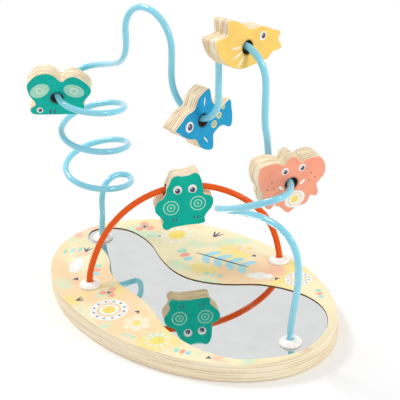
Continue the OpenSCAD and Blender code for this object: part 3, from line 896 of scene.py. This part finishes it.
# The board's print: motif, x, y and size in millimetres, and its turn in degrees
BOARD_PRINT = (
    (berries, -86, 38, 16, 20), (sun, -58, 45, 28, 0), (pebbles, -32, 28, 18, -25),
    (tuft, -34, 60, 10, 10), (sprig, -6, 40, 46, 12), (blossom, -2, 65, 15, 0),
    (drops, 4, 21, 13, 20), (cloud, 30, 41, 20, 30), (pennant, 8, 59, 5, 30),
    (dotted, 54, 55.5, 19, 0), (pebbles, 78, 50.5, 11, -35), (pennant, 42, 46, 5, 80),
    (drops, -101, -21, 14, 55), (cloud, -83, -33, 22, -55), (tuft, -92, -16, 8, 30),
    (pennant, -68, -46, 6, 20), (pebbles, -66, -28, 15, -50), (berries, -36, -43, 14, -15),
    (dotted, -19, -58, 27, 0), (tuft, -46, -65, 7, -20), (blossom, 8, -57, 20, 15),
    (sun, 34, -62, 19, 10), (drops, 15, -71, 9, 10), (pebbles, 56, -60.5, 12, 20),
    (pennant, 74, -54.5, 5, 40), (pennant, -2, -47, 5, 0), (blossom, -105.5, 25.5, 6, 0),
    (drops, -70, 33, 9, 30),
)


def eye(bm, at, size, look):
    """A white eye with a dark pupil, which looks to a side, and a glint."""
    film(bm, "white", at, (size, size * 1.06))
    pupil = (at[0] + look[0] * size, at[1] + look[1] * size)
    film(bm, "violet", pupil, (size * 0.6, size * 0.66), 0, 24, 2)
    dot(bm, "white", (pupil[0] - size * 0.1, pupil[1] + size * 0.14), size * 0.16, 12, 3)


def butterfly_print(bm):
    """An oval with a ring in it on each wing, an eye and two short strokes."""
    for at, turn in (((-11.5, 7), 30), ((12.5, 5), -25)):
        film(bm, "mint", at, (15, 10.5), turn)
        ring(bm, "white", at, 5.5, 0.7, 2)
    eye(bm, (-13.3, -9.6), 4.6, (0.05, 0))
    for x in (-6, -2.8):
        film(bm, "violet", (x, -11.4), (4, 1.2), 78, 12)


def fish_print(bm):
    """An eye, white strokes on the fins and yellow rings towards the tail."""
    eye(bm, (-12.5, -0.3), 7, (0.06, -0.03))
    film(bm, "white", (2.2, 12.6), (6, 1), 80, 14)
    film(bm, "white", (1.2, -14.2), (6, 1), -55, 14)
    for at, size in (((9.5, -6.2), 5), ((14.4, -1.6), 4.6), ((18.6, 3), 3.2)):
        ring(bm, "yellow", at, size, size * 0.2)
        dot(bm, "yellow", at, size * 0.3, 12)


def bird_print(bm):
    """An eye and pale feather strokes behind the hole."""
    eye(bm, (13.7, 3.2), 5.6, (0.1, -0.02))
    for at, turn in (((-9.6, 2.4), -8), ((-9.2, -2.6), 16), ((-6.2, -7.4), 42)):
        film(bm, "cream", at, (8.5, 1.8), turn, 16)


def elephant_print(bm):
    """Two eyes, a round rosette on the trunk, tusks and dots on the ears."""
    eye(bm, (-5, 10.6), 4.8, (0.06, -0.1))
    eye(bm, (7.1, 10), 4.8, (0.06, -0.1))
    film(bm, "white", (3, -12.4), (14.5, 12.5))
    ring(bm, "orange", (3, -12.4), 9.6, 0.6, 2)
    dot(bm, "yellow", (3, -12.4), 5.4, 24, 2)
    for at, turn in (((-7.2, -1.2), -40), ((8, -0.8), 40)):
        film(bm, "white", at, (4.6, 1.8), turn, 14)
    for at in ((-14, 5), (-17, 0.5), (-12.6, 0), (14, 4), (17, 0), (12.6, -1)):
        dot(bm, "violet", at, 1, 10)


def frog_print(bm):
    """Two eyes, rings on the legs and short toe strokes."""
    eye(bm, (-4, 1.2), 6.3, (0, -0.13))
    eye(bm, (6.6, 1), 6.3, (0, -0.13))
    for at in ((-9.6, -12.4), (9.8, -11)):
        ring(bm, "mint", at, 11.5, 0.8)
        ring(bm, "mint", at, 6.2, 0.8)
        dot(bm, "mint", at, 1.6, 14)
    for x in (-8.6, -6, 6.4, 9):
        film(bm, "violet", (x, -22), (3, 1), 75, 12)


BEAD_PRINTS = {"butterfly": butterfly_print, "fish": fish_print, "bird": bird_print,
               "elephant": elephant_print, "frog": frog_print}


# Operators


class BEADMAZE_OT_wires(bpy.types.Operator):
    """Bend the blue wire and the red arch as smooth enamelled rods"""

    bl_idname = "bead_maze.wires"
    bl_label = "Enamelled wires"

    def execute(self, context):
        wires = settings().wires
        blue = enamelled_wire("enamelled_blue_wire", wires.blue, gloss=0.3, coat=1)
        red = enamelled_wire("enamelled_red_wire", wires.red, gloss=0.1, coat=0.2)
        wire_piece("blue_wire", blue_route(), wires.diameter, blue,
                   ("blue_wire_coil", "blue_wire_loops", "blue_wire_front"))
        wire_piece("red_wire", red_route(), wires.diameter, red, ("red_wire_arch",))
        return {"FINISHED"}


def oval_share(point):
    """How far out a point in metres lies on the oval board: 0 in the middle and 1 on the rim, squared."""
    return (point.x / MM / HALF_BOARD.x) ** 2 + (point.y / MM / HALF_BOARD.y) ** 2


class BEADMAZE_OT_board(bpy.types.Operator):
    """Round the two plywood boards and finish their faces, edges and cuts"""

    bl_idname = "bead_maze.board"
    bl_label = "Plywood boards"

    def execute(self, context):
        board = settings().board
        colours = (board.pale_wood, board.brown_wood, board.glue_line)
        level = Matrix.Identity(4)
        edge = plywood_edge("sawn_birch_plywood_board_edge", level, board.veneer, colours,
                            run=45, contrast=0.5)
        cut = scorched_cut("laser_scorched_pond_wall", board.scorch)
        # Washes: colour, size in millimetres, shift in metres and the noise value that it starts from
        washes = ((board.warm, 55, 0, 0.5), (board.lemon, 30, 0.13, 0.57), (board.blush, 24, 0.31, 0.62),
                  (board.mint, 22, 0.52, 0.57))
        face = printed_board("offset_printed_plywood", board.ground, washes)

        def outer(edge):
            return all(oval_share(v.co) > RIM_SHARE for v in edge.verts)

        bm = rounded_copy("base_board", board.rim_round, lambda e: outer(e) and e.verts[0].co.z < 1 * MM)
        smooth_but_flats(bm, lambda f: abs(f.normal.z) > FLAT)
        finish_piece("base_board_ply", bm, [edge], "frame", ("base_board",))

        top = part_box("top_board")[1].z
        bm = rounded_copy("top_board", board.rim_round, lambda e: outer(e) and e.verts[0].co.z > top - 1 * MM)
        smooth_but_flats(bm, lambda f: abs(f.normal.z) > FLAT)
        # Upward faces are printed, the outer wall is sawn and the pond's wall is scorched
        for f in bm.faces:
            on_rim = oval_share(f.calc_center_median()) > ROUNDED_RIM_SHARE
            f.material_index = 0 if f.normal.z > 0.8 else 1 if on_rim else 2
        finish_piece("top_board_ply", bm, [face, edge, cut], "frame", ("top_board",))
        return {"FINISHED"}


class BEADMAZE_OT_board_print(bpy.types.Operator):
    """Print the board's motifs as thin films of ink"""

    bl_idname = "bead_maze.board_print"
    bl_label = "Board print"

    def execute(self, context):
        bm = bmesh.new()
        for motif, x, y, size, turn in BOARD_PRINT:
            motif(bm, (x, y), size, turn)
        bmesh.ops.recalc_face_normals(bm, faces=bm.faces)
        bm.transform(Matrix.Translation((0, 0, BOARD_TOP * MM)) @ Matrix.Scale(MM, 4))
        finish_piece("board_print", bm, ink_materials(), "frame")
        return {"FINISHED"}


class BEADMAZE_OT_mirror(bpy.types.Operator):
    """Silver the mirror sheet in the pond"""

    bl_idname = "bead_maze.mirror"
    bl_label = "Mirror sheet"

    def execute(self, context):
        coat_solid("mirror_inlay", acrylic_mirror("silvered_acrylic_mirror", settings().fittings.mirror))
        return {"FINISHED"}


class BEADMAZE_OT_collars(bpy.types.Operator):
    """Turn the four collars round the wires' feet"""

    bl_idname = "bead_maze.collars"
    bl_label = "Moulded collars"

    def execute(self, context):
        material = moulded_collar("moulded_white_collar", settings().fittings.collar)
        hole = (WIRE_RADIUS + WIRE_GAP) * MM
        for node in ("blue_rear_collar", "blue_front_collar", "red_left_collar", "red_right_collar"):
            low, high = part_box(node)
            radius, height = (high.x - low.x) / 2, high.z - low.z
            # Half section of the dome, from the hole's foot round to the hole's top
            section = [(hole, 0), (radius, 0), (radius, height * 0.3), (radius * 0.82, height * 0.6),
                       (radius * 0.6, height * 0.82), (hole, height)]
            bm = spun(section, steps=64, merge=MERGE)
            bmesh.ops.recalc_face_normals(bm, faces=bm.faces)
            lips = [e for e in bm.edges if e.calc_face_angle(0) > LIP_ANGLE
                    and abs(e.verts[0].co.z - e.verts[1].co.z) < MERGE]
            round_off(bm, lips, LIP_ROUND, segments=4)
            smooth_but_flats(bm, lambda f: f.normal.z < -FLAT)
            middle = (low + high) / 2
            bm.transform(Matrix.Translation((middle.x, middle.y, low.z)))
            finish_piece(node + "_moulded", bm, [material], "frame", (node,))
        return {"FINISHED"}


class BEADMAZE_OT_fasteners(bpy.types.Operator):
    """Plate the washers and nuts under the board"""

    bl_idname = "bead_maze.fasteners"
    bl_label = "Washers and nuts"

    def execute(self, context):
        material = zinc_steel("zinc_plated_steel", settings().fittings.steel)
        for node in ("wire_washers", "wire_nuts"):
            coat_solid(node, material)
        return {"FINISHED"}


class BEADMAZE_OT_beads(bpy.types.Operator):
    """Round and paint the five cut-out beads"""

    bl_idname = "bead_maze.beads"
    bl_label = "Animal beads"

    def execute(self, context):
        board, beads = settings().board, settings().beads
        colours = (board.pale_wood, board.brown_wood, board.glue_line)
        # The hole's wall takes the scorch colour at a fifth of its lightness: char, darkened further with
        # painted shade
        cut = scorched_cut("laser_scorched_bead_hole", shade(board.scorch, 0.2))
        for bead, place in bead_places().items():
            face = place.col[2].xyz
            across = place.col[0].xyz
            bore_across = bead == "frog"
            hole = FROG_HOLE if bore_across else FACE_HOLE
            bm = rounded_copy(bead + "_bead", beads.rim_round, lambda e: True)
            smooth_but_flats(bm, lambda f: abs(f.normal.dot(face)) > FLAT)
            back = place.inverted()
            # Flat faces are painted, the hole's wall is scorched and darkened with painted shade, and the
            # outer wall is sawn
            for f in bm.faces:
                here = back @ f.calc_center_median() / MM
                reach = math.hypot(here.y, here.z) if bore_across else math.hypot(here.x, here.y)
                inward = abs(f.normal.dot(across)) < 0.5 if bore_across else True
                if abs(f.normal.dot(face)) > NEARLY_FLAT and not (bore_across and reach < hole / 2):
                    f.material_index = 0
                elif reach < hole / 2 + SCORCH_AND_SHADE_REACH and inward:
                    f.material_index = 2
                else:
                    f.material_index = 1
            paint = painted_plate(f"satin_painted_plywood_{bead}", getattr(beads, bead), place,
                                  0 if bore_across else hole)
            edge = plywood_edge(f"sawn_birch_plywood_{bead}_edge", place, beads.veneer, colours,
                                run=18, contrast=0.85)
            finish_piece(bead + "_plate", bm, [paint, edge, cut], bead, (bead + "_bead",))
        return {"FINISHED"}


class BEADMAZE_OT_bead_prints(bpy.types.Operator):
    """Print eyes and ornaments on both faces of each bead"""

    bl_idname = "bead_maze.bead_prints"
    bl_label = "Bead prints"

    def execute(self, context):
        inks = ink_materials()
        for bead, place in bead_places().items():
            bm = bmesh.new()
            BEAD_PRINTS[bead](bm)
            bmesh.ops.translate(bm, verts=bm.verts, vec=(0, 0, BEAD_THICKNESS / 2))
            other = bmesh.ops.duplicate(bm, geom=bm.verts[:] + bm.edges[:] + bm.faces[:])["geom"]
            bmesh.ops.scale(bm, vec=(1, 1, -1), verts=[v for v in other if isinstance(v, bmesh.types.BMVert)])
            bmesh.ops.recalc_face_normals(bm, faces=bm.faces)
            bm.transform(place @ Matrix.Scale(MM, 4))
            finish_piece(bead + "_print", bm, inks, bead)
        return {"FINISHED"}


class BEADMAZE_OT_stage(bpy.types.Operator):
    """Set up the floor, soft light and camera"""

    bl_idname = "bead_maze.stage"
    bl_label = "Stage"

    def execute(self, context):
        stage = settings().stage
        scene = context.scene
        # The floor reaches 4 m to each side
        bm = bmesh.new()
        bmesh.ops.create_grid(bm, x_segments=1, y_segments=1, size=4)
        floor = new_object("floor", bm, [matt_floor("matt_white_floor", stage.floor)])

        world = bpy.data.worlds.new("soft_white_studio")
        world.use_nodes = True
        scene.world = world
        tree = world.node_tree
        tree.nodes.clear()
        fill, white = (add(tree, "Background", {"Color": (1, 1, 1, 1), "Strength": strength})[0]
                       for strength in (stage.fill, 1))
        mixed = add(tree, "MixShader", {0: seen_directly(tree), 1: fill, 2: white})[0]
        add(tree, "OutputWorld", {"Surface": mixed})

        # Square lamps: name, power, width and place in metres
        for name, power, size, place in (
                ("key_lamp", stage.key, 0.4, (-0.75, -0.1, 1.0)),
                ("side_lamp", stage.side, 0.35, (1.0, 0.35, 0.8))):
            light = bpy.data.lights.new(name, "AREA")
            light.energy = power
            light.size = size
            lamp = bpy.data.objects.new(name, light)
            lamp.location = place
            lamp.rotation_euler = (stage.target - lamp.location).to_track_quat("-Z", "Y").to_euler()
            scene.collection.objects.link(lamp)

        camera = bpy.data.cameras.new("camera")
        camera.lens = stage.lens
        camera.sensor_width = 36
        camera.clip_start, camera.clip_end = 0.01, 20
        viewer = bpy.data.objects.new("camera", camera)
        turn = (Matrix.Rotation(stage.azimuth, 4, "Z") @ Matrix.Rotation(math.pi / 2 - stage.pitch, 4, "X")
                @ Matrix.Rotation(stage.roll, 4, "Z"))
        viewer.matrix_world = Matrix.Translation(stage.target + turn.col[2].xyz * stage.distance) @ turn
        scene.collection.objects.link(viewer)
        scene.camera = viewer
        scene.view_settings.view_transform = "Standard"
        return {"FINISHED"}


STEPS = (BEADMAZE_OT_stage, BEADMAZE_OT_wires, BEADMAZE_OT_board, BEADMAZE_OT_board_print, BEADMAZE_OT_mirror,
         BEADMAZE_OT_collars, BEADMAZE_OT_fasteners, BEADMAZE_OT_beads, BEADMAZE_OT_bead_prints)


class BEADMAZE_PT_panel(bpy.types.Panel):
    """Lists the bead maze's pieces"""

    bl_label = "Bead maze"
    bl_idname = "BEADMAZE_PT_panel"
    bl_space_type = "VIEW_3D"
    bl_region_type = "UI"
    bl_category = "Bead maze"

    def draw(self, context):
        for step in STEPS:
            self.layout.operator(step.bl_idname)
        for name in MazeSettings.__annotations__:
            group = getattr(context.scene.bead_maze, name)
            box = self.layout.box()
            box.label(text=name.capitalize())
            for setting in type(group).__annotations__:
                box.prop(group, setting)


CLASSES = (WireSettings, BoardSettings, BeadSettings, PrintSettings, FittingSettings, StageSettings,
           MazeSettings, *STEPS, BEADMAZE_PT_panel)


def register():
    for cls in CLASSES:
        bpy.utils.register_class(cls)
    bpy.types.Scene.bead_maze = PointerProperty(type=MazeSettings)


def unregister():
    del bpy.types.Scene.bead_maze
    for cls in reversed(CLASSES):
        bpy.utils.unregister_class(cls)


def main():
    """Builds the stage and every piece."""
    register()
    bpy.ops.bead_maze.stage()
    bpy.ops.bead_maze.wires()
    bpy.ops.bead_maze.board()
    bpy.ops.bead_maze.board_print()
    bpy.ops.bead_maze.mirror()
    bpy.ops.bead_maze.collars()
    bpy.ops.bead_maze.fasteners()
    bpy.ops.bead_maze.beads()
    bpy.ops.bead_maze.bead_prints()


if __name__ == "__main__":
    main()
